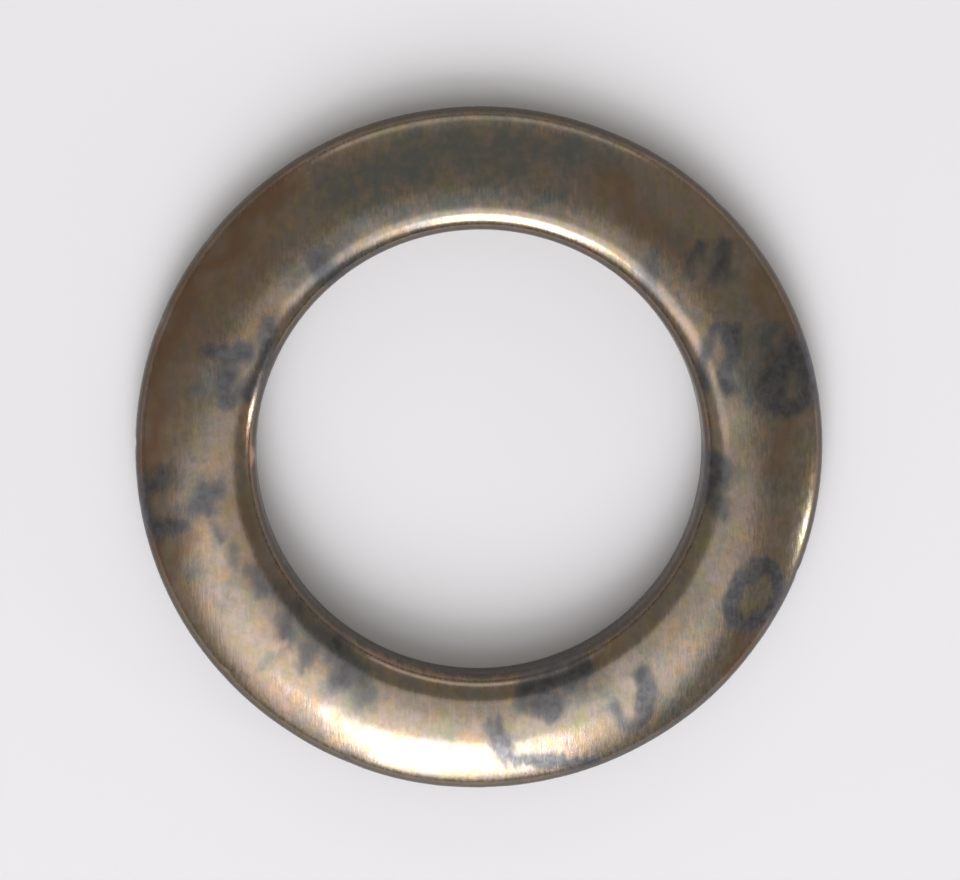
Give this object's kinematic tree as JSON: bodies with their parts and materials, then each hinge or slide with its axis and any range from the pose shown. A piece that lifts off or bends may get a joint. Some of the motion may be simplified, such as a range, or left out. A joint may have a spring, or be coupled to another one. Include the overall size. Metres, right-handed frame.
{
  "type": "filled sealing washer",
  "caption": "Flat copper sealing ring for a screw plug: a domed copper shell rolled round a soft filler and crimped over a flat backing ring.",
  "frame": {"origin": "on the bore's axis, in the plane of the back face that the ring rests on", "axes": "+Z along the bore's axis, out of the domed front face; the ring is round, so +X and +Y only fix the place of its stains"},
  "size_m": [0.0216, 0.0216, 0.002],
  "materials": {
    "shell_copper": "rolled copper sheet, dull satin, tarnished brown with blue-grey stains, brighter where it is rubbed",
    "backing_copper": "rolled copper sheet, satin, lightly tarnished",
    "filler": "pressed mineral-fibre packing, matt grey"
  },
  "bodies": {
    "root": {"front_shell": "shell_copper", "backing_ring": "backing_copper", "filler_ring": "filler"}
  },
  "joints": []
}
